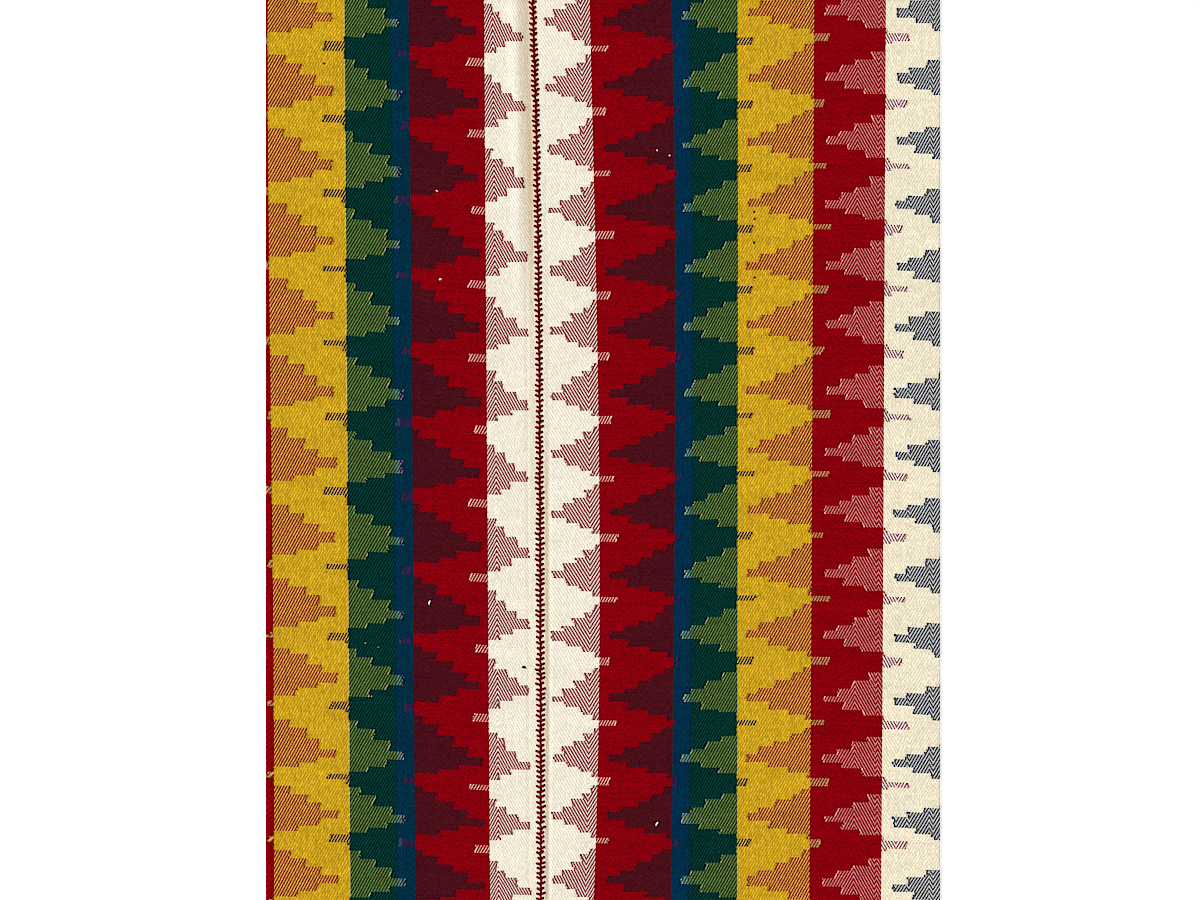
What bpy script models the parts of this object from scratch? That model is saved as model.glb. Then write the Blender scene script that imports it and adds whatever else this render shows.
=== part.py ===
"""A length of two-panel flatweave rug, lying flat: a narrow and a wide twill panel butted along a laced seam.

X runs across the rug along the weft, Y along the warp and Z up. The origin is on the surface that
the rug lies on, under the middle of its outline. All sizes are in metres.
"""

import math
from collections import namedtuple

import bmesh
import bpy

# Driving dimensions of the cloth
LENGTH = 1.000
LEFT_WIDTH = 0.297
RIGHT_WIDTH = 0.431
THICKNESS = 0.0020
PANEL_GAP = 0.0003

# The seam bends towards the narrow panel at the far end of the rug.
SEAM_SWAY = 0.0095
SEAM_SWAY_REACH = 0.24

# Each end is turned under once, so two layers lie on each other there.
HEM_DEPTH = 0.009
HEM_RISE = 0.0017
HEM_SLOPE = 0.005

# The rim of a panel is rounded over: it drops by RIM_DROP within RIM_WIDTH of the edge.
RIM_WIDTH = 0.0012
RIM_DROP = 0.0009

# Soft unevenness of hand-woven cloth: two slow waves across and along each panel.
WAVE_HEIGHT = 0.00025
WAVE_ACROSS = 0.145
WAVE_ALONG = 0.230

# Spacing of the sections that carry the relief
FINE_COLUMN = 0.0028
FINE_COLUMN_COUNT = 12
COARSE_COLUMN = 0.026
ROW_SPACING = 0.026

# Where the weave pulls along the seam: a ridge stands up, or a crease sinks where height is negative.
# offset is measured from the seam into the panel, and y_low to y_high is where the relief is full.
Relief = namedtuple("Relief", "panel offset half_width height y_low y_high fade")
SEAM_RELIEF = (
    Relief("left_panel", 0.0215, 0.0125, 0.0017, 0.30, 0.50, 0.19),
    Relief("left_panel", 0.0050, 0.0060, -0.0006, 0.22, 0.50, 0.20),
    Relief("right_panel", 0.0045, 0.0050, 0.0006, -0.50, 0.26, 0.12),
    Relief("right_panel", 0.0085, 0.0035, -0.0006, -0.50, -0.06, 0.10),
)

Panel = namedtuple("Panel", "name side width colour")
PANELS = (
    Panel("left_panel", -1, LEFT_WIDTH, (0.45, 0.06, 0.04, 1.0)),
    Panel("right_panel", 1, RIGHT_WIDTH, (0.50, 0.07, 0.04, 1.0)),
)
WOOL_ROUGHNESS = 0.9

SEAM_X = LEFT_WIDTH - (LEFT_WIDTH + RIGHT_WIDTH) / 2


def clear_scene():
    for old in list(bpy.data.objects):
        bpy.data.objects.remove(old)


def smooth(share):
    """Eases from 0 to 1, and stays there outside that range."""
    share = min(max(share, 0.0), 1.0)
    return share * share * (3 - 2 * share)


def seam_x(y):
    """Where the seam crosses the line at this Y."""
    from_far_end = LENGTH / 2 - y
    return SEAM_X - SEAM_SWAY * math.exp(-from_far_end / SEAM_SWAY_REACH)


def columns(width):
    """Distances from the panel's seam edge, closer together where the seam pulls the weave."""
    fine_end = RIM_WIDTH + FINE_COLUMN * FINE_COLUMN_COUNT
    fine = [RIM_WIDTH + FINE_COLUMN * i for i in range(FINE_COLUMN_COUNT)]
    span = width - RIM_WIDTH - fine_end
    count = round(span / COARSE_COLUMN)
    coarse = [fine_end + span * i / count for i in range(count + 1)]
    return [0.0] + fine + coarse + [width]


def rows():
    """Y of the sections from the near end to the far end, with the hems' own lines at both ends."""
    hem_lines = [0.0, RIM_WIDTH, HEM_DEPTH, HEM_DEPTH + HEM_SLOPE / 2, HEM_DEPTH + HEM_SLOPE]
    near = [line - LENGTH / 2 for line in hem_lines]
    far = [-y for y in reversed(near)]
    count = round((far[0] - near[-1]) / ROW_SPACING)
    field = [near[-1] + (far[0] - near[-1]) * i / count for i in range(1, count)]
    return near + field + far


def relief_height(panel, inward, y):
    """How far the ridges and creases beside the seam lift the cloth at a point."""
    height = 0.0
    for relief in SEAM_RELIEF:
        if relief.panel != panel.name:
            continue
        across = max(0.0, 1 - abs(inward - relief.offset) / relief.half_width)
        along = min(y - relief.y_low, relief.y_high - y) / relief.fade + 1
        height += relief.height * smooth(across) * smooth(along)
    return height


def top_height(panel, inward, y, width):
    """Height of the cloth's upper face above the floor."""
    from_end = LENGTH / 2 - abs(y)
    from_side = min(inward, width - inward)
    hem = HEM_RISE * smooth(1 - (from_end - HEM_DEPTH) / HEM_SLOPE)
    wave = math.sin(2 * math.pi * inward / WAVE_ACROSS) * math.cos(2 * math.pi * y / WAVE_ALONG)
    rim = RIM_DROP * max(smooth(1 - from_side / RIM_WIDTH), smooth(1 - from_end / RIM_WIDTH))
    return THICKNESS + hem + WAVE_HEIGHT * wave + relief_height(panel, inward, y) - rim


def panel_mesh(panel):
    """A closed slab: the uneven upper face, a flat underside and the rim between them."""
    across, along = columns(panel.width - PANEL_GAP / 2), rows()
    outer_x = SEAM_X + panel.side * panel.width
    shape = bmesh.new()
    grid = []
    for y in along:
        inner_x = seam_x(y) + panel.side * PANEL_GAP / 2
        full = abs(outer_x - inner_x)
        stretch = full / across[-1]
        line = []
        for inward in across:
            x = inner_x + panel.side * inward * stretch
            line.append(shape.verts.new((x, y, top_height(panel, inward, y, across[-1]))))
        grid.append(line)
    for near, far in zip(grid, grid[1:]):
        for i in range(len(across) - 1):
            shape.faces.new((near[i], near[i + 1], far[i + 1], far[i]))
    edge_loop = (
        grid[0]
        + [line[-1] for line in grid[1:]]
        + grid[-1][-2::-1]
        + [line[0] for line in grid[-2:0:-1]]
    )
    floor_loop = [shape.verts.new((v.co.x, v.co.y, 0.0)) for v in edge_loop]
    for i, upper in enumerate(edge_loop):
        j = (i + 1) % len(edge_loop)
        shape.faces.new((upper, edge_loop[j], floor_loop[j], floor_loop[i]))
    shape.faces.new(floor_loop)
    bmesh.ops.recalc_face_normals(shape, faces=shape.faces)
    mesh = bpy.data.meshes.new(panel.name)
    shape.to_mesh(mesh)
    shape.free()
    return mesh


def wool(panel):
    material = bpy.data.materials.new(f"{panel.name}_wool")
    material.use_nodes = True
    shader = material.node_tree.nodes["Principled BSDF"]
    shader.inputs["Base Color"].default_value = panel.colour
    shader.inputs["Roughness"].default_value = WOOL_ROUGHNESS
    shader.inputs["Metallic"].default_value = 0.0
    return material


def build_panel(panel):
    mesh = panel_mesh(panel)
    mesh.materials.append(wool(panel))
    mesh.shade_smooth()
    mesh.set_sharp_from_angle(angle=math.radians(40))
    cloth = bpy.data.objects.new(panel.name, mesh)
    bpy.context.scene.collection.objects.link(cloth)
    return cloth


def main():
    clear_scene()
    for panel in PANELS:
        build_panel(panel)


main()
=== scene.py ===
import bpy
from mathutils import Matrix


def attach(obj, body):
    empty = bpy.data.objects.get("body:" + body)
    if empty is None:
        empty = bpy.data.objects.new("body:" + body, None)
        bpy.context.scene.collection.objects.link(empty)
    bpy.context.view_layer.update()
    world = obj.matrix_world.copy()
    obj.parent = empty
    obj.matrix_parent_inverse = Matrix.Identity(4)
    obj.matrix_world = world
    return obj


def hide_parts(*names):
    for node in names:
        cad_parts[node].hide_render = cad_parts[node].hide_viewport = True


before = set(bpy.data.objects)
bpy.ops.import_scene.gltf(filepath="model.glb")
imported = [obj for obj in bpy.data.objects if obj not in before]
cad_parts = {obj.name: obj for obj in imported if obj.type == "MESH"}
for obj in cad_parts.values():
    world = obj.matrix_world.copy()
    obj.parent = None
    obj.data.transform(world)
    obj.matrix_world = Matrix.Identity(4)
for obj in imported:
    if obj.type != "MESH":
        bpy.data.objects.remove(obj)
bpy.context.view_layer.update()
print("frame loaded:", sorted(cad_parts))

import math
import random

import bmesh
import bpy
from mathutils import Vector, noise

# A length of two-panel wool flatweave. x runs across it, y along it, and the tables are in mm.
mm = 0.001


# an sRGB hex value as the linear colour that the nodes take
def linear(hexValue):
    parts = [int(hexValue[i:i + 2], 16) / 255 for i in (1, 3, 5)]
    return [p / 12.92 if p <= 0.04045 else ((p + 0.055) / 1.055) ** 2.4 for p in parts] + [1.0]


# adds one node, sets its options, and fills or links its inputs
def addNode(tree, kind, inputs=None, **options):
    node = tree.nodes.new(kind)
    for name, value in options.items():
        setattr(node, name, value)
    for name, value in (inputs or {}).items():
        if isinstance(value, bpy.types.NodeSocket):
            tree.links.new(value, node.inputs[name])
        else:
            node.inputs[name].default_value = value
    return node


def ease(share):
    share = min(max(share, 0.0), 1.0)
    return share * share * (3 - 2 * share)


# The cloth both panels share
cloth = {
    "length": 1000.0,
    "warpPitch": 0.8,          # 12.5 ends a centimetre
    "pickPitch": 1000 / 700,   # 7 picks a centimetre
    "rows": 350,               # each row of faces is 2 picks tall
    "thickness": 2.0,
    "hemDepth": 9.0, "hemSlope": 5.0, "hemRise": 1.7,
    "seam": -67.0, "seamSway": 9.5, "seamReach": 240.0, "gap": 0.3,
    "rollRadius": 1.0,         # how far in the rounding of a rim reaches
    "endRoll": 1.4,            # and the same at the ends, in roll radii
    "rimShare": 0.34,          # how much of its thickness the cloth keeps at the very rim
    "rimSteps": [0.0, 0.22, 0.6, 1.0], "rimClear": 1.2, "endSteps": [0.0, 0.25, 0.7, 1.4],
    "columnStep": 8.0, "fineStep": 1.6, "fineReach": 36.0,
    "waveHeight": 0.25, "waveAcross": 145.0, "waveAlong": 230.0,
    "uneven": 0.18, "unevenAcross": 34, "unevenAlong": 46, "unevenSlice": 3.7,
    "pickWander": 0.9,         # how far a pick strays from a straight line
    "wanderAcross": 55, "wanderAlong": 38, "wanderSlice": 1.3, "wanderFrom": 3, "wanderFade": 20,
    "pickSkew": 0.6,           # how much of a join's lateness comes from picks that run askew
    "skewFade": 80.0,          # they straighten out within this of each end
    "stepSlant": 2.6,          # how far the end of a step leans over its height
}
noJoin = 9999.0                # stands where a row has no more joins
rowTall = cloth["length"] / cloth["rows"]
halfLong = cloth["length"] / 2

# Each yarn has two looks: in its own stripe, and where it crosses another colour.
# For the warp: both colours, how much the yarn stands out of the cloth in each, where 0.5 is evenly,
# how far its fuzz blends with a dark weft, and how deep its light and dark go: the painted shade down between
# the yarns together with their random tone. For the weft: both colours, the first painted darker than the same
# yarn in the warp, as painted shade where the weft lies lower between the warp floats, and the share of the face
# that it covers in each. The warp's own share is stand + 0.5 - cover.
warpYarns = {
    "yellow": ("#e1b222", "#efb84c", 0.53, 0.53, 0.0, 1.0),
    "cream": ("#faf4e2", "#faf2e8", 0.50, 0.49, 0.0, 0.5),
    "ecru": ("#f8efd4", "#f8f8f4", 0.50, 0.60, 0.0, 0.6),
    "red": ("#a2040a", "#8c0c18", 0.40, 0.40, 0.6, 1.0),
    "crimson": ("#a2040a", "#8c0c18", 0.40, 0.81, 0.6, 1.0),
    "green": ("#064a39", "#1a4018", 0.60, 1.06, 0.1, 1.1),
    "teal": ("#043a4a", "#08443e", 0.70, 1.08, 0.2, 1.0),
    "blue": ("#033753", "#2c2448", 0.85, 1.22, 0.4, 1.0),        # looks purple under red weft
    "royalBlue": ("#03375f", "#2c2448", 0.85, 1.22, 0.4, 1.0),
    "seaBlue": ("#03385b", "#064c4e", 0.85, 1.00, 0.4, 1.0),     # looks greener under yellow weft
}
# painted shade: a weft's own colour is darker than the same yarn in the warp, as it lies lower in the cloth
weftYarns = {
    "yellow": ("#a3811c", "#b6ad6c", 0.31, 0.75), "red": ("#800110", "#7c0a14", 0.63, 0.63),
    "cream": ("#dccdb8", "#ffe6e0", 0.27, 0.18), "ecru": ("#dcccb0", "#ffc8c4", 0.27, 0.52),
    "darkGreen": ("#031f24", "#00141e", 0.74, 0.63), "navy": ("#0c1830", "#41444a", 0.69, 0.83),
}

# A panel's warp lines are its guides: where each runs at mid length, then how far it strays at the far end,
# at the two thirds and at the near end.
# shares is how far down a repeat each step ends, from the tip of one finger to the next.
# reach is how far that step runs past the base line, negative to the left.
# late is how many rows lower a join's steps come, at the far end, half way and at the near end.
leftPanel = {
    "piece": "leftPanelTwill", "node": "left_panel", "side": -1, "seed": 11,
    "from": -364.0, "to": -67.15,
    "guides": [(-364.0, (0, 0, 0, 0)), (-360.0, (-2.9, -0.8, 3.0, 4.0)), (-276.8, (-3.2, -1.1, 1.1, 3.2)),
               (-228.0, (-3.8, -0.5, 1.6, 3.8)), (-206.4, (-3.8, -0.5, 1.6, 3.8)),
               (-125.6, (-3.2, -1.1, 1.1, 3.2))],
    "warp": [(-364.0, "crimson"), (-360.0, "yellow"), (-276.8, "green"), (-228.0, "teal"),
             (-225.6, "seaBlue"), (-220.8, "blue"), (-206.4, "red"), (-125.6, "cream")],
    "weft": ["red", "yellow", "darkGreen", "red", "cream"],
    "folds": [-115.2],         # where the twill turns about
    "lean": 1,                 # +1 leans to the right going up
    "firstTip": 11, "repeats": [27, 29, 28.2, 28.6, 28.1, 27.6, 28.6, 27.7, 24.6, 29.2, 23.1, 25],
    "shares": [0.06, 0.16, 0.24, 0.31, 0.41, 0.45, 0.54, 0.66, 0.80, 0.93, 1.0],
    "joins": [
        {"base": -360.0, "late": (-0.3, 0.1, -0.1), "reach": [70, 49, 26, 0, -4, 0, 0, 19, 36, 52, 70]},
        {"base": -276.8, "late": (1.6, 1.1, 0.6), "reach": [59, 41.5, 21, 0, -24, -3, 0, 10, 27, 45, 59]},
        {"base": -206.4, "late": (5.1, 3.0, 1.6), "reach": [73, 46, 26.5, 0, -14, 0, 7.5, 24, 41, 57, 73]},
        {"base": -125.6, "late": (8.1, 6.1, 4.1),
         "reach": [45.5, 26, 14, 0, -17, 0, 0, 9, 19.5, 32.5, 45.5]},
    ],
}
rightPanel = {
    "piece": "rightPanelTwill", "node": "right_panel", "side": 1, "seed": 23,
    "from": -66.85, "to": 364.0,
    "guides": [(-8.0, (-6.5, 1.0, 4.3, -2.0)), (75.2, (-2.2, 2.2, 0.5, -2.2)),
               (95.2, (-2.0, 2.2, 1.0, -1.5)), (144.0, (0.0, 0.5, 0.0, -0.5)),
               (225.6, (2.2, 0.5, -1.0, -3.2)), (302.4, (2.2, 0.5, -1.0, -3.2)), (364.0, (0, 0, 0, 0))],
    "warp": [(-66.85, "cream"), (-8.0, "red"), (75.2, "royalBlue"), (84.0, "seaBlue"), (92.0, "teal"),
             (95.2, "green"), (144.0, "yellow"), (225.6, "crimson"), (302.4, "ecru")],
    "weft": ["cream", "red", "darkGreen", "yellow", "red", "ecru", "navy"],
    "folds": [-17.6, 273.6, 296.0, 298.4, 318.4, 329.6, 332.0, 352.8, 356.8],
    "lean": -1,
    "firstTip": 12,
    "repeats": [24.7, 23.8, 23.1, 23.2, 22.3, 24.9, 22.4, 22, 23.8, 22.9, 24.1, 22.2, 22.3, 24],
    "shares": [0.065, 0.165, 0.26, 0.35, 0.46, 0.50, 0.60, 0.72, 0.83, 0.93, 1.0],
    "joins": [
        {"base": -8.0, "late": (1.2, 0.5, -0.7),
         "reach": [-47, -33, -19, -6, 16, 0, -5, -15, -25, -37, -47]},
        {"base": 75.2, "late": (0.6, 0.0, 0.3),
         "reach": [-71, -50, -27, -6.5, 5, 0, -9, -21, -38, -55, -71]},
        {"base": 144.0, "late": (-1.5, -1.3, 0.5),
         "reach": [-58, -39, -19.5, 0, 17, 0, 0, -15, -32.5, -48.5, -58]},
        {"base": 226.4, "late": (-3.0, -1.2, 0.7),
         "reach": [-70, -46, -25, -4, 14.5, 0, -9, -21, -40, -57, -70]},
        {"base": 303.2, "late": (-3.2, -0.6, 1.1),
         "reach": [-63, -42, -22, 3, 24, 7, 0, -15, -32, -48, -63]},
        {"base": 371.2, "late": (-2.3, 1.1, 3.3),
         "reach": [-55, -34, -15, 0, 0, 0, 0, -6, -23, -42, -55]},
    ],
}

# How unevenly the steps are woven
zigzag = {
    "heightLoose": 0.012,      # the end of a step, as a share of the repeat
    "lastShare": 1.01,         # just past the repeat, so that every pick finds its step
    "reachLoose": 1.6,         # how far a step's reach strays
    "backStep": 4, "longBack": 5.0, "backLoose": 5.0,   # long fingers that point back stray further
    "turnBack": (-1, 0, 0, 0, 0, 1),                    # how many ends early or late a pick turns back
}

# Ridges and creases along the seam, for each side: how far into the panel, half width, height, the y they
# run between, and how far they fade beyond that
seamRelief = {
    -1: [(21.5, 12.5, 1.7, 300, 500, 190), (5.0, 6.0, -0.6, 220, 500, 200),
         (14.0, 2.0, -0.3, -420, 120, 120)],
    1: [(4.5, 5.0, 0.7, -500, 260, 120), (8.5, 3.2, -0.8, -500, -60, 100)],
}
# Painted shade, in tan, along the folds and creases beside the seam where they slope away from the light: the
# same without a height, and then how strongly
seamShade = {
    -1: [(9.0, 12.5, 350, 500, 240, 0.52), (7.0, 6.5, 0, 300, 140, 0.22),
         (14.0, 2.2, -420, 150, 150, 0.2)],
    1: [(6.0, 4.6, -500, -60, 160, 0.4)],
}


def seamSway(y):
    return -cloth["seamSway"] * math.exp(-(halfLong - y) / cloth["seamReach"])


# how far a warp line strays at height y, through its four stated places
def strayAt(places, y):
    knots = [486.0, 162.0, -162.0, -486.0]
    total = 0.0
    for i, here in enumerate(knots):
        weight = places[i]
        for k, other in enumerate(knots):
            if k != i:
                weight *= (y - other) / (here - other)
        total += weight
    return total


# how far the picks have sunk here, in rows of the chart
def lateAt(panel, u, along):
    halves = 2 * (1 - along / cloth["length"])
    places = []
    for join in panel["joins"]:
        far, middle, near = join["late"]
        late = far + (middle - far) * halves if halves < 1 else middle + (near - middle) * (halves - 1)
        places.append((join["base"], late))
    if u <= places[0][0]:
        return places[0][1]
    for (u0, late0), (u1, late1) in zip(places, places[1:]):
        if u <= u1:
            return late0 + (late1 - late0) * (u - u0) / (u1 - u0)
    return places[-1][1]


# how far a pick lies below its straight line, in mm
def skewAt(panel, u, along):
    middle = lateAt(panel, (panel["from"] + panel["to"]) / 2, along)
    fromEnd = min(along, cloth["length"] - along)
    share = cloth["pickSkew"] * ease((fromEnd - 2) / cloth["skewFade"])
    return share * rowTall * (lateAt(panel, u, along) - middle)


# where a warp line at u lies when it is laid out at height y
def acrossAt(panel, u, y):
    guides = [(line, strayAt(places, y)) for line, places in panel["guides"]]
    seamLine = (cloth["seam"] + panel["side"] * cloth["gap"] / 2, seamSway(y))
    guides = sorted(guides + [seamLine])
    if u <= guides[0][0]:
        return u + guides[0][1]
    for (u0, s0), (u1, s1) in zip(guides, guides[1:]):
        if u <= u1:
            return u + s0 + (s1 - s0) * (u - u0) / (u1 - u0)
    return u + guides[-1][1]


# height of the middle of the upper face, before the rims are rounded
def topAt(panel, u, y):
    inward = abs(u - cloth["seam"])
    fromEnd = halfLong - abs(y)
    height = cloth["thickness"]
    height += cloth["hemRise"] * ease(1 - (fromEnd - cloth["hemDepth"]) / cloth["hemSlope"])
    height += cloth["waveHeight"] * math.sin(2 * math.pi * inward / cloth["waveAcross"]) * math.cos(
        2 * math.pi * y / cloth["waveAlong"])
    spot = Vector((u / cloth["unevenAcross"], y / cloth["unevenAlong"], cloth["unevenSlice"]))
    height += cloth["uneven"] * noise.noise(spot)
    for offset, halfWidth, rise, low, high, fade in seamRelief[panel["side"]]:
        across = ease(1 - abs(inward - offset) / halfWidth)
        height += rise * across * ease(min(y - low, high - y) / fade + 1)
    return height


# lines across the panel: closer at the seam and at the rims, and one on every turn of the twill
def columnLines(panel):
    rim, clear = cloth["rimSteps"], cloth["rimClear"]
    stops = [panel["from"] + r for r in rim] + [panel["to"] - r for r in rim]
    stops += [line for line, places in panel["guides"] if panel["from"] + clear < line < panel["to"] - clear]
    stops += panel["folds"]
    seamEdge = panel["to"] if panel["side"] < 0 else panel["from"]
    count = int(cloth["fineReach"] / cloth["fineStep"])
    stops += [seamEdge + panel["side"] * cloth["fineStep"] * i for i in range(1, count)]
    stops = sorted(set(round(s, 3) for s in stops))
    lines = [stops[0]]
    for stop in stops[1:]:
        pieces = max(1, math.ceil((stop - lines[-1]) / cloth["columnStep"]))
        start = lines[-1]
        lines += [start + (stop - start) * i / pieces for i in range(1, pieces + 1)]
    return lines


# lines along the panel, each with the row of picks above it; the ends get extra ones for their roll
def rowLines():
    inner = [rowTall * r for r in range(1, cloth["rows"])]
    ends = cloth["endSteps"]
    heights = sorted(ends + inner + [cloth["length"] - e for e in ends])
    return [(h, min(int(h / rowTall + 1e-6), cloth["rows"] - 1)) for h in heights]


# the twill's own count of warp ends, which runs back where the twill turns about
def twillCount(panel, u):
    pitch, at, lean = cloth["warpPitch"], panel["from"], panel["lean"]
    count = round(at / pitch) * pitch * lean
    for fold in panel["folds"] + [math.inf]:
        count += lean * (min(u, fold) - at)
        if u <= fold:
            return count
        at, lean = fold, -lean


# for each row from the far end, where one weft hands over to the next
def joinLines(panel):
    dice = random.Random(panel["seed"])
    rows = cloth["rows"]
    table = [[] for r in range(rows)]
    for join in panel["joins"]:
        tips = [panel["firstTip"] - panel["repeats"][0], panel["firstTip"]]
        for count in panel["repeats"] + [panel["repeats"][-1]] * 2:
            tips.append(tips[-1] + count)
        repeats = []
        for tip in tips:
            loose = zigzag["heightLoose"]
            shares = [s + dice.uniform(-loose, loose) for s in panel["shares"][:-1]] + [zigzag["lastShare"]]
            reaches = []
            for k, reach in enumerate(join["reach"]):
                pointsBack = k == zigzag["backStep"] and abs(reach) > zigzag["longBack"]
                loose = zigzag["backLoose" if pointsBack else "reachLoose"]
                reaches.append(reach + (dice.uniform(-loose, loose) if reach else 0.0))
            repeats.append((shares, reaches))
        for r in range(rows):
            along = cloth["length"] - (r + 0.5) * rowTall
            late = lateAt(panel, join["base"], along)
            low = r + 0.5 + skewAt(panel, join["base"], along) / rowTall - late
            k = max(i for i, tip in enumerate(tips) if i == 0 or tip <= low)
            share = (low - tips[k]) / (tips[k + 1] - tips[k])
            shares, reaches = repeats[k]
            step = next(i for i, s in enumerate(shares) if share < s)
            reach = reaches[step] if step < len(reaches) - 1 else repeats[k + 1][1][0]
            # the end of a step follows the twill's lean, a pair of ends at a time
            top = shares[step - 1] if step else 0.0
            down = (share - top) / (shares[step] - top)
            line = join["base"] + reach
            lean = panel["lean"] * (-1) ** sum(fold < line for fold in panel["folds"])
            if reach:
                line += lean * cloth["stepSlant"] * (0.5 - down)
                line += dice.choice(zigzag["turnBack"]) * cloth["warpPitch"]
            table[r].append(round(line / cloth["warpPitch"]) * cloth["warpPitch"])
    return table


# Where each part of a panel lies on the square that its material is baked to, as shares of it
bakeSquare = {
    "low": 0.006, "tall": 0.988, "margin": 0.004, "faceWide": 0.79, "backWide": 0.18,
    "leftRim": (0.7985, 0.8015), "rightRim": (0.8045, 0.8075),
    "nearRim": (0.001, 0.0035), "farRim": (0.9965, 0.999),
}


def weavePanel(panel):
    lines, heights, joins = columnLines(panel), rowLines(), joinLines(panel)
    wide, across = panel["to"] - panel["from"], len(lines)
    roll, rimShare = cloth["rollRadius"], cloth["rimShare"]
    points, weaveAt = [], []
    for under in (False, True):
        for along, row in heights:
            y = along - halfLong
            fromEnd = min(along, cloth["length"] - along)
            for u in lines:
                fromRim = min(u - panel["from"], panel["to"] - u)
                top = topAt(panel, u, y)
                half = top / 2
                edge = min(fromRim / roll, 1.0, fromEnd / (cloth["endRoll"] * roll))
                half *= rimShare + (1 - rimShare) * math.sqrt(max(0.0, 1 - (1 - edge) ** 2))
                z = top / 2 - half if under else top / 2 + half
                spot = Vector((u / cloth["wanderAcross"], along / cloth["wanderAlong"], cloth["wanderSlice"]))
                wander = cloth["pickWander"] * noise.noise(spot)
                wander *= ease((fromEnd - cloth["wanderFrom"]) / cloth["wanderFade"])
                wander -= skewAt(panel, u, along)
                points.append((acrossAt(panel, u, y) * mm, (y + wander) * mm, z * mm))
                weaveAt += [twillCount(panel, u), u, along]
    layer = across * len(heights)
    faces, rowOf, underOf, spots = [], [], [], []
    margin, faceWide, backWide = (bakeSquare[name] for name in ("margin", "faceWide", "backWide"))
    rimL0, rimL1 = bakeSquare["leftRim"]
    rimR0, rimR1 = bakeSquare["rightRim"]

    def addFace(corners, row, under, places):
        faces.append(corners)
        rowOf.append(cloth["rows"] - 1 - row)
        underOf.append(under)
        spots.extend(places)

    for j in range(len(heights) - 1):
        v0, v1 = (bakeSquare["low"] + bakeSquare["tall"] * heights[j + k][0] / cloth["length"] for k in (0, 1))
        row = heights[j][1]
        for i in range(across - 1):
            a, b = j * across + i, (j + 1) * across + i
            s0, s1 = ((lines[i + k] - panel["from"]) / wide for k in (0, 1))
            f0, f1 = margin + faceWide * s0, margin + faceWide * s1
            addFace((a, a + 1, b + 1, b), row, 0.0, ((f0, v0), (f1, v0), (f1, v1), (f0, v1)))
            g0, g1 = 1 - margin - backWide * s0, 1 - margin - backWide * s1
            addFace((layer + a, layer + b, layer + b + 1, layer + a + 1), row, 1.0,
                    ((g0, v0), (g0, v1), (g1, v1), (g1, v0)))
        a, b = j * across, (j + 1) * across
        addFace((a, b, layer + b, layer + a), row, 0.0, ((rimL0, v0), (rimL0, v1), (rimL1, v1), (rimL1, v0)))
        a, b = a + across - 1, b + across - 1
        addFace((a, layer + a, layer + b, b), row, 0.0, ((rimR0, v0), (rimR1, v0), (rimR1, v1), (rimR0, v1)))
    near0, near1 = bakeSquare["nearRim"]
    far0, far1 = bakeSquare["farRim"]
    for i in range(across - 1):
        s0, s1 = (margin + faceWide * (lines[i + k] - panel["from"]) / wide for k in (0, 1))
        a, b = i, (len(heights) - 1) * across + i
        addFace((a, layer + a, layer + a + 1, a + 1), 0, 0.0,
                ((s0, near1), (s0, near0), (s1, near0), (s1, near1)))
        addFace((b, b + 1, layer + b + 1, layer + b), cloth["rows"] - 1, 0.0,
                ((s0, far0), (s1, far0), (s1, far1), (s0, far1)))
    mesh = bpy.data.meshes.new(panel["piece"])
    mesh.from_pydata(points, [], faces)
    mesh.attributes.new("weave", "FLOAT_VECTOR", "POINT").data.foreach_set("vector", weaveAt)
    mesh.attributes.new("underside", "FLOAT", "FACE").data.foreach_set("value", underOf)
    for name, first in (("joinsA", 0), ("joinsB", 3)):
        values = []
        for row in rowOf:
            three = joins[row][first:first + 3]
            values += three + [noJoin] * (3 - len(three))
        mesh.attributes.new(name, "FLOAT_VECTOR", "FACE").data.foreach_set("vector", values)
    spotLayer = mesh.uv_layers.new(name="OFBake")
    spotLayer.data.foreach_set("uv", [value for spot in spots for value in spot])
    mesh.polygons.foreach_set("use_smooth", [True] * len(faces))
    mesh.update()
    piece = bpy.data.objects.new(panel["piece"], mesh)
    bpy.context.scene.collection.objects.link(piece)
    mesh.materials.append(twillWool(panel))
    print(panel["piece"], "woven:", len(faces), "faces")
    return piece


# How the twill's yarns look
twill = {
    "gapShade": 0.23,          # painted shade: how dark the colour gets down between two yarns
    "floatLong": 1.4,          # where a float has dived out of sight, in yarns from its middle
    "floatDrop": 0.65,         # how low it lies there
    "floatOval": 0.26,         # how much further a float reaches along its crown than along its sides
    "crownMean": 0.64,         # mean height of a round crown, 2 / pi
    "jitter": 0.36,            # how far the picks are beaten out of line, in picks
    "beatScale": 0.16,         # per mm, so the beat changes over about 6 mm
    "endVary": 0.12, "pickVary": 0.20,      # one yarn against the next
    "floatVary": 0.44,         # one float against the next, where the handspun yarn is thick or thin
    "abrash": 0.16, "abrashSpread": 2.0,    # slow bands where the dye lot changes
    "abrashAcross": 0.012, "abrashAlong": 0.075, "abrashShift": 3.7,   # per mm, and from weft to weft
    "fibre": 0.52, "fibreSpread": 1.7,      # light and dark fibres in a handspun single
    "fibreScale": 0.5,         # per mm, so a fibre's light and dark are about 2 mm apart
    "fibreBump": 0.25, "bumpHeight": 0.00032, "bumpStrength": 0.5,
    "joinHalf": 2.0,           # mm each side of a colour join where the picks turn back and bunch
    "joinBunch": 0.6,
    "fuzz": 0.12,              # how far the fuzz of one yarn veils the next
    "stain": 0.15,             # how far a weft takes on the hue of the warp that it crosses
    # the tan of the painted shade on the folds beside the seam, and how patchy it is with the fibres
    "tan": "#dcc49c", "tanPatchy": 0.8, "tanLeast": 0.6,
}


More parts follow.
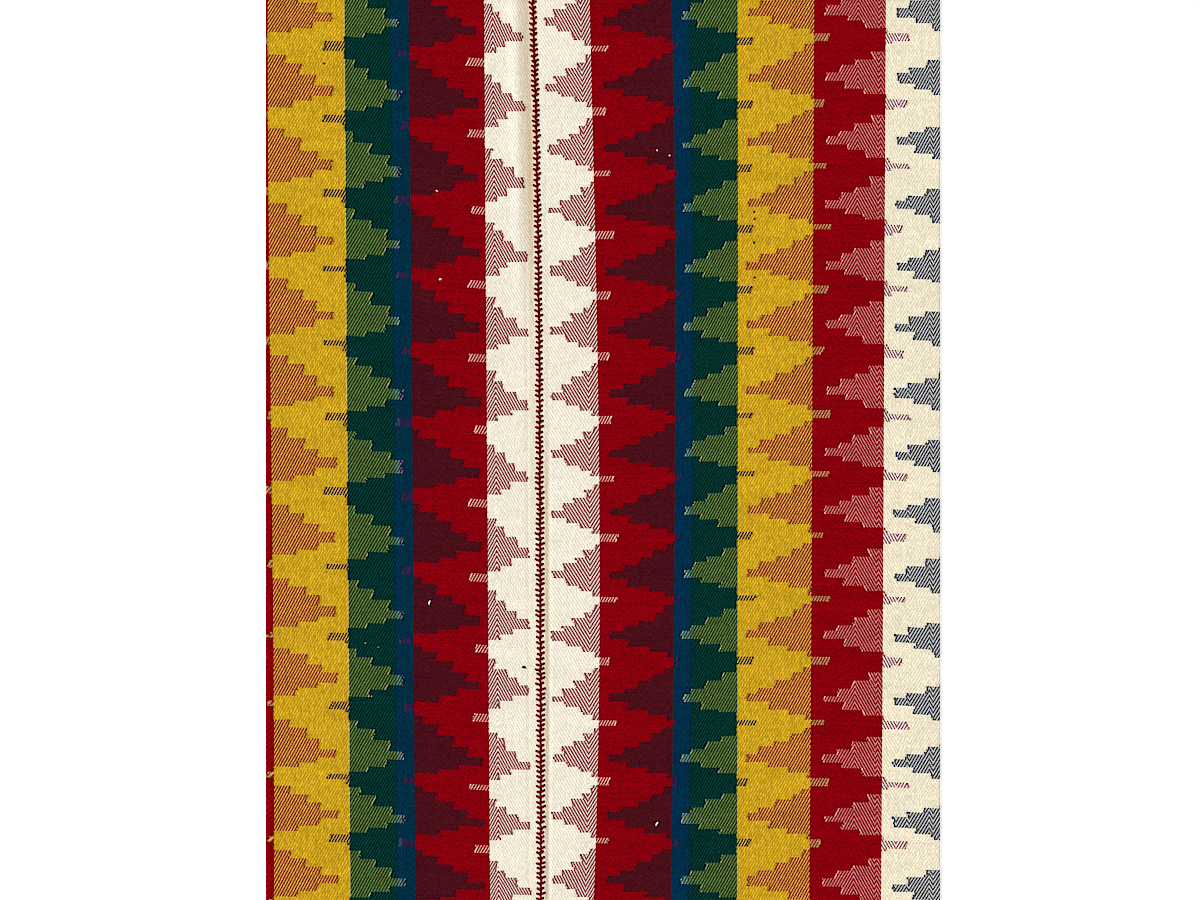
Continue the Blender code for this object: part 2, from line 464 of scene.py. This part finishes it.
# Handspun dyed wool, hand woven in 2/2 twill: matt, with ridges of two-pick floats that lean one way.
# Each warp and weft yarn is drawn at its true pitch, so the hatching comes from the weave itself.
def twillWool(panel):
    wool = bpy.data.materials.new("handspun wool twill, " + panel["node"].replace("_", " "))
    wool.use_nodes = True
    tree = wool.node_tree
    tree.nodes.clear()
    calc = "ShaderNodeMath"

    weave = addNode(tree, "ShaderNodeSeparateXYZ", {0: addNode(
        tree, "ShaderNodeAttribute", attribute_name="weave").outputs["Vector"]})
    count, across, along = weave.outputs
    under = addNode(tree, "ShaderNodeAttribute", attribute_name="underside").outputs["Fac"]

    # which warp end and which pick, and how far across each
    beatSpot = addNode(tree, "ShaderNodeCombineXYZ", {0: across, 1: along}).outputs[0]
    beat = addNode(tree, "ShaderNodeTexNoise", {
        "Vector": beatSpot, "Scale": twill["beatScale"], "Detail": 1.0}).outputs[0]
    evenPicks = addNode(tree, calc, {0: along, 1: 1 / cloth["pickPitch"], 2: -twill["jitter"] / 2},
                        operation="MULTIPLY_ADD").outputs[0]
    pickRun = addNode(tree, calc, {0: beat, 1: twill["jitter"], 2: evenPicks},
                      operation="MULTIPLY_ADD").outputs[0]
    warpRun = addNode(tree, calc, {0: count, 1: cloth["warpPitch"]}, operation="DIVIDE").outputs[0]
    warpNumber = addNode(tree, calc, {0: warpRun}, operation="FLOOR").outputs[0]
    pickNumber = addNode(tree, calc, {0: pickRun}, operation="FLOOR").outputs[0]
    warpShare = addNode(tree, calc, {0: warpRun}, operation="FRACT").outputs[0]
    pickShare = addNode(tree, calc, {0: pickRun}, operation="FRACT").outputs[0]

    # 2/2 twill: over two, under two, one end further on every pick; the back shows the other half.
    # For the warp and for the weft: how far this spot is from the middle of its float, the rise across the
    # yarn, the height, and that float's own random number.
    floats = []
    for run, number, share, start in ((pickRun, warpNumber, warpShare, 2.0),
                                      (warpRun, pickNumber, pickShare, 3.0)):
        stepped = addNode(tree, calc, {0: run, 1: number}, operation="SUBTRACT").outputs[0]
        sided = addNode(tree, calc, {0: under, 1: 2.0, 2: stepped}, operation="MULTIPLY_ADD").outputs[0]
        begun = addNode(tree, calc, {0: sided, 1: start}, operation="ADD").outputs[0]
        turned = addNode(tree, calc, {0: begun, 1: 4.0}, operation="FLOORED_MODULO").outputs[0]
        quarter = addNode(tree, calc, {0: begun, 1: 0.25}, operation="MULTIPLY").outputs[0]
        floatNumber = addNode(tree, calc, {0: quarter}, operation="FLOOR").outputs[0]
        off = addNode(tree, calc, {0: turned, 1: 2.0}, operation="SUBTRACT").outputs[0]
        away = addNode(tree, calc, {0: off}, operation="ABSOLUTE").outputs[0]
        squared = addNode(tree, calc, {0: away, 1: away}, operation="MULTIPLY").outputs[0]
        drop = -twill["floatDrop"] / twill["floatLong"] ** 2
        longRise = addNode(tree, calc, {0: squared, 1: drop, 2: 1.0},
                           operation="MULTIPLY_ADD", use_clamp=True).outputs[0]
        turn = addNode(tree, calc, {0: share, 1: math.pi}, operation="MULTIPLY").outputs[0]
        crossRise = addNode(tree, calc, {0: turn}, operation="SINE").outputs[0]
        rise = addNode(tree, calc, {0: longRise, 1: crossRise}, operation="MULTIPLY").outputs[0]
        floatSpot = addNode(tree, "ShaderNodeCombineXYZ", {0: number, 1: floatNumber, 2: start}).outputs[0]
        dice = addNode(tree, "ShaderNodeTexWhiteNoise", {"Vector": floatSpot},
                       noise_dimensions="3D").outputs[0]
        floats.append((away, crossRise, rise, dice))

    # which weft is in this row here, and how near the handover is
    lines = []
    for name in ("joinsA", "joinsB"):
        lines += addNode(tree, "ShaderNodeSeparateXYZ", {0: addNode(
            tree, "ShaderNodeAttribute", attribute_name=name).outputs["Vector"]}).outputs
    zone, nearest, bases = 0.0, noJoin, 0.0
    for line in lines[:len(panel["joins"])]:
        past = addNode(tree, calc, {0: across, 1: line}, operation="SUBTRACT").outputs[0]
        passed = addNode(tree, calc, {0: past, 1: 0.0}, operation="GREATER_THAN").outputs[0]
        away = addNode(tree, calc, {0: past}, operation="ABSOLUTE").outputs[0]
        zone = addNode(tree, calc, {0: zone, 1: passed}, operation="ADD").outputs[0]
        nearest = addNode(tree, calc, {0: nearest, 1: away}, operation="MINIMUM").outputs[0]
    for join in panel["joins"]:
        beyond = addNode(tree, calc, {0: across, 1: join["base"]}, operation="GREATER_THAN").outputs[0]
        bases = addNode(tree, calc, {0: beyond, 1: bases}, operation="ADD").outputs[0]
    # where the weft has left its own stripe
    strayed = addNode(tree, calc, {0: zone, 1: bases, 2: 0.5}, operation="COMPARE").outputs[0]
    crossing = addNode(tree, calc, {0: 1.0, 1: strayed}, operation="SUBTRACT").outputs[0]
    bunched = addNode(tree, calc, {0: nearest, 1: twill["joinHalf"]}, operation="LESS_THAN").outputs[0]

    # the warp's stripes, and the weft's zones with the share that each weft covers
    spread = addNode(tree, "ShaderNodeMapRange", {
        "Value": across, "From Min": panel["from"], "From Max": panel["to"]}).outputs[0]
    wide = panel["to"] - panel["from"]
    stops = [((start - panel["from"]) / wide, warpYarns[name]) for start, name in panel["warp"]]
    ramps = []
    for colour in (0, 1):
        ramp = addNode(tree, "ShaderNodeValToRGB", {0: spread})
        fillRamp(ramp, [(start, linear(yarn[colour])[:3] + [yarn[2 + colour]]) for start, yarn in stops])
        ramps.append(ramp.outputs)
    stand = addNode(tree, "ShaderNodeMix", {0: crossing, 2: ramps[0][1], 3: ramps[1][1]},
                    data_type="FLOAT").outputs[0]
    stripes = addNode(tree, "ShaderNodeMix", {0: crossing, 6: ramps[0][0], 7: ramps[1][0]},
                      data_type="RGBA").outputs[2]
    habits = addNode(tree, "ShaderNodeValToRGB", {0: spread})
    fillRamp(habits, [(start, yarn[4:6] + (0.0, 1.0)) for start, yarn in stops])
    blends, depth = addNode(tree, "ShaderNodeSeparateColor", {0: habits.outputs[0]}).outputs[:2]
    zones = len(panel["weft"])
    zoneShare = addNode(tree, calc, {0: zone, 1: 1 / zones, 2: 0.5 / zones},
                        operation="MULTIPLY_ADD").outputs[0]
    stops = [(i / zones, weftYarns[name]) for i, name in enumerate(panel["weft"])]
    ramps = []
    for colour in (0, 1):
        ramp = addNode(tree, "ShaderNodeValToRGB", {0: zoneShare})
        fillRamp(ramp, [(start, linear(yarn[colour])[:3] + [yarn[2 + colour]]) for start, yarn in stops])
        ramps.append(ramp.outputs)
    wefts = addNode(tree, "ShaderNodeMix", {0: crossing, 6: ramps[0][0], 7: ramps[1][0]},
                    data_type="RGBA").outputs[2]
    covers = addNode(tree, "ShaderNodeMix", {0: crossing, 2: ramps[0][1], 3: ramps[1][1]},
                     data_type="FLOAT").outputs[0]
    # a weft takes on some of the warp's hue where it crosses
    stain = addNode(tree, calc, {0: crossing, 1: twill["stain"]}, operation="MULTIPLY").outputs[0]
    wefts = addNode(tree, "ShaderNodeMix", {0: stain, 6: wefts, 7: stripes}, data_type="RGBA",
                    blend_type="COLOR").outputs[2]

    # the warp is on top within its float, which is shorter where the weft packs closer
    evenReach = 1.0 - twill["crownMean"] * twill["floatOval"]
    packed = addNode(tree, calc, {0: covers, 1: -2.0, 2: evenReach}, operation="MULTIPLY_ADD").outputs[0]
    reach = addNode(tree, calc, {0: stand, 1: 2.0, 2: packed}, operation="MULTIPLY_ADD").outputs[0]
    oval = addNode(tree, calc, {0: floats[0][1], 1: twill["floatOval"], 2: reach},
                   operation="MULTIPLY_ADD").outputs[0]
    limit = addNode(tree, calc, {0: bunched, 1: -twill["joinBunch"], 2: oval},
                    operation="MULTIPLY_ADD").outputs[0]
    warpUp = addNode(tree, calc, {0: floats[0][0], 1: limit}, operation="LESS_THAN").outputs[0]
    height = addNode(tree, "ShaderNodeMix", {0: warpUp, 2: floats[1][2], 3: floats[0][2]},
                     data_type="FLOAT").outputs[0]
    darkWeft = addNode(tree, calc, {0: zone, 1: float(panel["weft"].index("darkGreen")), 2: 0.5},
                       operation="COMPARE").outputs[0]
    blend = addNode(tree, calc, {0: blends, 1: darkWeft, 2: twill["fuzz"]}, operation="MULTIPLY_ADD").outputs[0]
    warpFace = addNode(tree, calc, {0: reach, 1: 0.5, 2: twill["crownMean"] / 2 * twill["floatOval"]},
                       operation="MULTIPLY_ADD", use_clamp=True).outputs[0]
    onTop = addNode(tree, "ShaderNodeMix", {0: blend, 2: warpUp, 3: warpFace}, data_type="FLOAT").outputs[0]
    dyed = addNode(tree, "ShaderNodeMix", {0: onTop, 6: wefts, 7: stripes}, data_type="RGBA").outputs[2]

    # painted shade down between the yarns, then one yarn and one float against the next, slow bands, and light
    # and dark fibres
    trueEnd = addNode(tree, calc, {0: across, 1: cloth["warpPitch"]}, operation="DIVIDE").outputs[0]
    endNumber = addNode(tree, calc, {0: trueEnd}, operation="FLOOR").outputs[0]
    endDice = addNode(tree, "ShaderNodeTexWhiteNoise", {"W": endNumber}, noise_dimensions="1D").outputs[0]
    pickSpot = addNode(tree, "ShaderNodeCombineXYZ", {0: pickNumber, 1: zone}).outputs[0]
    pickDice = addNode(tree, "ShaderNodeTexWhiteNoise", {"Vector": pickSpot}, noise_dimensions="2D").outputs[0]
    bandSpot = addNode(tree, "ShaderNodeCombineXYZ", {
        0: addNode(tree, calc, {0: across, 1: twill["abrashAcross"]}, operation="MULTIPLY").outputs[0],
        1: addNode(tree, calc, {0: along, 1: twill["abrashAlong"]}, operation="MULTIPLY").outputs[0],
        2: addNode(tree, calc, {0: zone, 1: twill["abrashShift"]}, operation="MULTIPLY").outputs[0]}).outputs[0]
    bands = addNode(tree, "ShaderNodeTexNoise", {"Vector": bandSpot, "Scale": 1.0, "Detail": 3.0}).outputs[0]
    fibreSpot = addNode(tree, "ShaderNodeCombineXYZ", {0: across, 1: along, 2: warpUp}).outputs[0]
    fibres = addNode(tree, "ShaderNodeTexNoise", {
        "Vector": fibreSpot, "Scale": twill["fibreScale"], "Detail": 2.0}).outputs[0]
    yarnDice = addNode(tree, "ShaderNodeMix", {0: warpUp, 2: pickDice, 3: endDice},
                       data_type="FLOAT").outputs[0]
    yarnVary = addNode(tree, "ShaderNodeMix", {0: warpUp, 2: twill["pickVary"], 3: twill["endVary"]},
                       data_type="FLOAT").outputs[0]
    floatDice = addNode(tree, "ShaderNodeMix", {0: warpUp, 2: floats[1][3], 3: floats[0][3]},
                        data_type="FLOAT").outputs[0]
    # painted shade: the colour darkens where the yarn's height falls between the floats
    value = addNode(tree, calc, {0: height, 1: twill["gapShade"], 2: 1 - twill["gapShade"]},
                    operation="MULTIPLY_ADD").outputs[0]
    for dice, vary, widen in ((yarnDice, yarnVary, 1.0), (floatDice, twill["floatVary"], 1.0),
                              (bands, twill["abrash"], twill["abrashSpread"]),
                              (fibres, twill["fibre"], twill["fibreSpread"])):
        middle = addNode(tree, calc, {0: dice, 1: 0.5}, operation="SUBTRACT").outputs[0]
        scaled = addNode(tree, calc, {0: middle, 1: widen}, operation="MULTIPLY").outputs[0]
        part = addNode(tree, calc, {0: scaled, 1: vary, 2: 1.0}, operation="MULTIPLY_ADD").outputs[0]
        value = addNode(tree, calc, {0: value, 1: part}, operation="MULTIPLY").outputs[0]
    shallow = addNode(tree, calc, {0: value, 1: 1.0}, operation="SUBTRACT").outputs[0]
    value = addNode(tree, calc, {0: shallow, 1: depth, 2: 1.0}, operation="MULTIPLY_ADD").outputs[0]
    # painted shade: the folds and creases beside the seam are darkened with tan where they slope away from the
    # light
    foldShade = 0.0
    inward = addNode(tree, calc, {0: across, 1: cloth["seam"]}, operation="SUBTRACT").outputs[0]
    for offset, halfWidth, low, high, fade, strength in seamShade[panel["side"]]:
        off = addNode(tree, calc, {0: inward, 1: offset * panel["side"]}, operation="SUBTRACT").outputs[0]
        away = addNode(tree, calc, {0: off}, operation="ABSOLUTE").outputs[0]
        sideways = addNode(tree, "ShaderNodeMapRange", {
            "Value": away, "From Min": halfWidth, "From Max": 0.0}, interpolation_type="SMOOTHSTEP").outputs[0]
        belowIt = addNode(tree, "ShaderNodeMapRange", {
            "Value": along, "From Min": low - fade + halfLong, "From Max": low + halfLong},
            interpolation_type="SMOOTHSTEP").outputs[0]
        aboveIt = addNode(tree, "ShaderNodeMapRange", {
            "Value": along, "From Min": high + fade + halfLong, "From Max": high + halfLong},
            interpolation_type="SMOOTHSTEP").outputs[0]
        lengthways = addNode(tree, calc, {0: belowIt, 1: aboveIt}, operation="MULTIPLY").outputs[0]
        patchy = addNode(tree, calc, {0: fibres, 1: twill["tanPatchy"], 2: twill["tanLeast"]},
                         operation="MULTIPLY_ADD").outputs[0]
        part = addNode(tree, calc, {0: sideways, 1: lengthways}, operation="MULTIPLY").outputs[0]
        patch = addNode(tree, calc, {0: part, 1: patchy}, operation="MULTIPLY").outputs[0]
        foldShade = addNode(tree, calc, {0: patch, 1: strength, 2: foldShade}, operation="MULTIPLY_ADD").outputs[0]
    shadedFolds = addNode(tree, "ShaderNodeMix", {0: foldShade, 6: dyed, 7: linear(twill["tan"])},
                   data_type="RGBA", blend_type="MULTIPLY").outputs[2]
    shaded = addNode(tree, "ShaderNodeVectorMath", {0: shadedFolds, "Scale": value}, operation="SCALE").outputs[0]

    relief = addNode(tree, calc, {0: fibres, 1: twill["fibreBump"], 2: height},
                     operation="MULTIPLY_ADD").outputs[0]
    bump = addNode(tree, "ShaderNodeBump", {
        "Height": relief, "Distance": twill["bumpHeight"], "Strength": twill["bumpStrength"]}).outputs[0]
    shader = addNode(tree, "ShaderNodeBsdfPrincipled", {
        "Base Color": shaded, "Normal": bump, "Roughness": 1.0, "Specular IOR Level": 0.0})
    addNode(tree, "ShaderNodeOutputMaterial", {"Surface": shader.outputs[0]})
    return wool


# hard-edged bands on a ramp, each with its start and four numbers
def fillRamp(node, bands):
    ramp = node.color_ramp
    ramp.interpolation = "CONSTANT"
    while len(ramp.elements) > 1:
        ramp.elements.remove(ramp.elements[-1])
    ramp.elements[0].position = bands[0][0]
    for start, numbers in bands[1:]:
        ramp.elements.new(start)
    for stop, (start, numbers) in zip(ramp.elements, bands):
        stop.color = numbers


for panel in (leftPanel, rightPanel):
    piece = weavePanel(panel)
    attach(piece, "root")
    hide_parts(panel["node"])

# The yarn that laces the two panels edge to edge, with a pair of arms to each stitch
lacing = {
    "yarn": 2.6, "spine": 2.5, "flat": 0.55, "sides": 8, "seed": 5,
    "pitch": 5.6, "pitchVary": (0.88, 1.12), "endGap": 3.0, "stray": 0.5,
    "arm": 5.3, "farArm": 4.4, "armVary": (0.74, 1.1), "rightArm": 0.88,
    "armFrom": 0.4, "armOver": 0.2,         # where along the seam the arms get shorter, as shares of it
    "rise": 2.3, "farRise": 3.4, "riseVary": (0.7, 1.2), "riseCurve": 1.3, "bow": 0.35,
    "riseFrom": 0.86, "riseOver": 0.12,     # and where they get steeper
    "rightLate": 1.2,                       # how much higher up the right arm starts
    "lift": 0.42, "middleLift": 0.35, "sink": 0.9, "sinkShare": 0.25,   # the arm's tip dives into the cloth
    "spineSway": 0.55, "spineAhead": 0.4, "spineLift": 0.25, "spineInward": 0.8,
    # the yarn's colour, and the darker red painted into the grooves between its plies as painted shade
    "colour": "#7a0218", "dark": "#600114",
    "fibreScale": 1500.0,                   # per metre, so the fibres are about 0.7 mm apart
    "plyBump": 0.0003, "plyStrength": 0.3,
}


# adds a yarn along the points, with closed ends and pressed flat by this much
def addYarn(shape, path, radii, sides, flat=1.0):
    rings = []
    for i, point in enumerate(path):
        ahead = path[min(i + 1, len(path) - 1)] - path[max(i - 1, 0)]
        side = ahead.cross(Vector((0, 0, 1)))
        side = side.normalized() if side.length > 1e-9 else Vector((1, 0, 0))
        up = side.cross(ahead).normalized()
        ring = []
        for k in range(sides):
            turn = 2 * math.pi * k / sides
            ring.append(shape.verts.new(point + radii[i] * (math.cos(turn) * side + flat * math.sin(turn) * up)))
        rings.append(ring)
    for low, high in zip(rings, rings[1:]):
        for k in range(sides):
            n = (k + 1) % sides
            shape.faces.new((low[k], low[n], high[n], high[k]))
    shape.faces.new(rings[0][::-1])
    shape.faces.new(rings[-1])


def laceSeam():
    dice = random.Random(lacing["seed"])
    shape = bmesh.new()
    y = -halfLong + lacing["endGap"]
    spine = []
    while y < halfLong - lacing["endGap"]:
        share = (y + halfLong) / cloth["length"]
        shorter = ease((share - lacing["armFrom"]) / lacing["armOver"])
        steeper = ease((share - lacing["riseFrom"]) / lacing["riseOver"])
        pitch = lacing["pitch"] * dice.uniform(*lacing["pitchVary"])
        arm = lacing["arm"] + (lacing["farArm"] - lacing["arm"]) * shorter
        climb = lacing["rise"] + (lacing["farRise"] - lacing["rise"]) * steeper
        middle = cloth["seam"] + seamSway(y) + dice.uniform(-lacing["stray"], lacing["stray"])
        for side, panel, long, late in ((-1, leftPanel, 1.0, 0.0),
                                        (1, rightPanel, lacing["rightArm"], lacing["rightLate"])):
            reach = arm * dice.uniform(*lacing["armVary"]) * long
            rise = climb * dice.uniform(*lacing["riseVary"])
            path, radii = [], []
            # from the tip to the middle
            for k in range(6):
                t = k / 5
                out = reach * (1 - t)
                x = middle + side * (out + 0.1)
                yHere = y + late + rise * (1 - t) ** lacing["riseCurve"]
                yHere += lacing["bow"] * math.sin(math.pi * t)
                arch = math.sin(math.pi * min(1.0, 0.12 + 0.8 * t))
                lift = lacing["lift"] * arch + lacing["middleLift"] * t
                sink = lacing["sink"] * ease(1 - t / lacing["sinkShare"])
                top = topAt(panel, cloth["seam"] + side * (out + 0.6), yHere)
                path.append(Vector((x, yHere, top + lift - sink)) * mm)
                swell = 0.8 + 0.2 * math.sin(math.pi * (0.15 + 0.7 * t))   # thinner at both ends
                radii.append(lacing["yarn"] / 2 * mm * swell)
            addYarn(shape, path, radii, lacing["sides"], lacing["flat"])
        spine.append((middle + lacing["spineSway"] * (-1) ** len(spine), y + lacing["spineAhead"]))
        y += pitch
    path = []
    for (x0, y0), (x1, y1) in zip(spine, spine[1:]):
        for k in range(4):
            t = k / 4
            x = x0 + (x1 - x0) * ease(t)
            yHere = y0 + (y1 - y0) * t
            top = topAt(leftPanel, cloth["seam"] - lacing["spineInward"], yHere)
            lift = lacing["spineLift"] + lacing["spineLift"] * math.sin(2 * math.pi * t)
            path.append(Vector((x, yHere, top + lift)) * mm)
    radii = [lacing["spine"] / 2 * mm * (0.92 + 0.12 * math.sin(1.7 * i)) for i in range(len(path))]
    addYarn(shape, path, radii, lacing["sides"] + 2, lacing["flat"])
    bmesh.ops.recalc_face_normals(shape, faces=shape.faces)
    mesh = bpy.data.meshes.new("seamLacing")
    shape.to_mesh(mesh)
    shape.free()
    mesh.shade_smooth()
    piece = bpy.data.objects.new("seamLacing", mesh)
    bpy.context.scene.collection.objects.link(piece)
    mesh.materials.append(plyWool())
    return piece


# Two-ply madder red wool: darker than the field, with the twist of its plies along it and painted shade in the
# grooves between them
def plyWool():
    wool = bpy.data.materials.new("two-ply wool yarn, madder red")
    wool.use_nodes = True
    tree = wool.node_tree
    tree.nodes.clear()
    spot = addNode(tree, "ShaderNodeTexCoord").outputs["Object"]
    plies = addNode(tree, "ShaderNodeTexWave", {
        "Vector": spot, "Scale": 1000 / lacing["yarn"] / 2 / math.pi, "Distortion": 2.0, "Detail": 1.0},
        bands_direction="DIAGONAL").outputs["Fac"]
    fibres = addNode(tree, "ShaderNodeTexNoise", {
        "Vector": spot, "Scale": lacing["fibreScale"], "Detail": 2.0}).outputs[0]
    # painted shade: the grooves between the plies are darker along the twist, with random fibre tone over it
    both = addNode(tree, "ShaderNodeMath", {0: plies, 1: fibres}, operation="MULTIPLY").outputs[0]
    dyed = addNode(tree, "ShaderNodeMix", {
        0: both, 6: linear(lacing["dark"]), 7: linear(lacing["colour"])}, data_type="RGBA").outputs[2]
    bump = addNode(tree, "ShaderNodeBump", {
        "Height": plies, "Distance": lacing["plyBump"], "Strength": lacing["plyStrength"]}).outputs[0]
    shader = addNode(tree, "ShaderNodeBsdfPrincipled", {
        "Base Color": dyed, "Normal": bump, "Roughness": 1.0, "Specular IOR Level": 0.0})
    addNode(tree, "ShaderNodeOutputMaterial", {"Surface": shader.outputs[0]})
    return wool


laced = laceSeam()
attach(laced, "root")
print("seam laced:", len(laced.data.polygons), "faces")

# Bits of lint and stray yarn ends that lie on the face: panel, x, y, length, half thickness, turn, colour
lint = [
    (leftPanel, -187.0, -165.0, 5.0, 1.1, 75, "#ece2cc"),
    (leftPanel, -175.5, 184.0, 3.0, 1.3, 20, "#ece2cc"),
    (leftPanel, -179.5, 279.5, 2.8, 0.9, -40, "#ece2cc"),
    (rightPanel, 58.5, -404.0, 5.0, 1.1, 60, "#ece2cc"),
    (leftPanel, -85.4, -235.0, 4.4, 1.4, -12, "#1c1a2c"),
    (leftPanel, -301.5, 417.0, 2.2, 1.0, 10, "#9a1420"),
    (rightPanel, 163.5, 257.0, 2.4, 1.0, 60, "#6a0a10"),
    (rightPanel, 164.0, 249.5, 2.6, 1.0, 80, "#6a0a10"),
    (leftPanel, -256.3, -208.8, 1.6, 0.8, 30, "#9fb4a0"),
    (leftPanel, -242.6, -213.3, 1.4, 0.6, -20, "#9fb4a0"),
    (leftPanel, -249.5, -266.3, 1.6, 0.7, 60, "#9fb4a0"),
    (rightPanel, 72.0, 317.5, 1.8, 0.9, 10, "#ece2cc"),
    (rightPanel, 59.0, 323.5, 1.8, 0.9, 80, "#ece2cc"),
    (rightPanel, 163.5, 224.0, 2.6, 1.0, 70, "#6a0a10"),
    (rightPanel, 164.0, 186.0, 2.4, 1.0, 40, "#6a0a10"),
]
fluff = {"lift": 0.25, "curl": 0.5, "taper": 2.2, "sides": 8, "flat": 0.6}


def scatterLint():
    shape = bmesh.new()
    colours = []
    for panel, x, y, length, thick, turn, colour in lint:
        along = Vector((math.cos(math.radians(turn)), math.sin(math.radians(turn)), 0))
        aside = Vector((-along.y, along.x, 0))
        path, radii = [], []
        for k in range(5):
            t = k / 4 - 0.5
            spot = Vector((x, y, 0)) + along * length * t + aside * fluff["curl"] * math.cos(3 * t)
            spot.z = topAt(panel, spot.x, spot.y) + fluff["lift"]
            path.append(spot * mm)
            radii.append(thick * (1 - fluff["taper"] * t * t) * mm)
        addYarn(shape, path, radii, fluff["sides"], fluff["flat"])
        colours += [colour] * (len(shape.faces) - len(colours))
    bmesh.ops.recalc_face_normals(shape, faces=shape.faces)
    mesh = bpy.data.meshes.new("lint")
    shape.to_mesh(mesh)
    shape.free()
    mesh.shade_smooth()
    names = sorted(set(colours))
    for name in names:
        # loose carded wool, matt all over
        wool = bpy.data.materials.new("wool lint " + name)
        wool.use_nodes = True
        wool.node_tree.nodes.clear()
        shader = addNode(wool.node_tree, "ShaderNodeBsdfPrincipled", {
            "Base Color": linear(name), "Roughness": 1.0, "Specular IOR Level": 0.0})
        addNode(wool.node_tree, "ShaderNodeOutputMaterial", {"Surface": shader.outputs[0]})
        mesh.materials.append(wool)
    mesh.polygons.foreach_set("material_index", [names.index(colour) for colour in colours])
    piece = bpy.data.objects.new("lint", mesh)
    bpy.context.scene.collection.objects.link(piece)
    return piece


flecks = scatterLint()
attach(flecks, "root")
print("lint scattered:", len(flecks.data.polygons), "faces")

# The room: a pale floor, a soft even light with a little more of it from the upper left, a camera overhead
room = {
    "floor": "#fafaf8", "floorHalf": 6, "floorDrop": 0.0008, "floorRoughness": 0.95, "floorShine": 0.1,
    "glow": 0.3, "sky": 0.62, "key": 2.75, "keyTilt": 56, "keyTurn": -120, "keySoft": 22,
    "cameraHigh": 3.0, "frameWide": 1.296, "lookAt": (-0.00324, 0.0), "sensor": 36.0,
    "sharpen": 0.075,          # the shot is sharpened a little, so the single yarns stand out
}


def setRoom():
    scene = bpy.context.scene
    mesh = bpy.data.meshes.new("floor")
    half, low = room["floorHalf"], -room["floorDrop"]
    corners = [(-half, -half, low), (half, -half, low), (half, half, low), (-half, half, low)]
    mesh.from_pydata(corners, [], [(0, 1, 2, 3)])
    floor = bpy.data.objects.new("floor", mesh)
    scene.collection.objects.link(floor)
    # matt coated paper that glows a little, so it shows as plain white
    paper = bpy.data.materials.new("matt paper backdrop")
    paper.use_nodes = True
    tree = paper.node_tree
    tree.nodes.clear()
    shader = addNode(tree, "ShaderNodeBsdfPrincipled", {
        "Base Color": linear(room["floor"]), "Roughness": room["floorRoughness"],
        "Specular IOR Level": room["floorShine"],
        "Emission Color": (1.0, 1.0, 1.0, 1.0), "Emission Strength": room["glow"]})
    addNode(tree, "ShaderNodeOutputMaterial", {"Surface": shader.outputs[0]})
    mesh.materials.append(paper)

    world = bpy.data.worlds.new("soft room")
    scene.world = world
    world.use_nodes = True
    tree = world.node_tree
    tree.nodes.clear()
    sky = addNode(tree, "ShaderNodeBackground", {"Color": (1.0, 1.0, 1.0, 1.0), "Strength": room["sky"]})
    addNode(tree, "ShaderNodeOutputWorld", {"Surface": sky.outputs[0]})

    key = bpy.data.lights.new("window light", "SUN")
    key.energy = room["key"]
    key.angle = math.radians(room["keySoft"])
    lamp = bpy.data.objects.new("window light", key)
    lamp.rotation_euler = (math.radians(room["keyTilt"]), 0.0, math.radians(room["keyTurn"]))
    scene.collection.objects.link(lamp)

    lens = bpy.data.cameras.new("overhead")
    lens.sensor_width = room["sensor"]
    lens.lens = room["sensor"] * (room["cameraHigh"] - cloth["thickness"] * mm) / room["frameWide"]
    camera = bpy.data.objects.new("overhead", lens)
    camera.location = (*room["lookAt"], room["cameraHigh"])
    scene.collection.objects.link(camera)
    scene.camera = camera
    scene.view_settings.view_transform = "Standard"
    scene.view_settings.look = "None"


def sharpenShot(strength):
    scene = bpy.context.scene
    scene.use_nodes = True
    tree = scene.node_tree
    tree.nodes.clear()
    shot = addNode(tree, "CompositorNodeRLayers").outputs["Image"]
    crisp = addNode(tree, "CompositorNodeFilter", {"Fac": strength, "Image": shot}, filter_type="SHARPEN")
    addNode(tree, "CompositorNodeComposite", {"Image": crisp.outputs["Image"]})


setRoom()
sharpenShot(room["sharpen"])
print("room set")
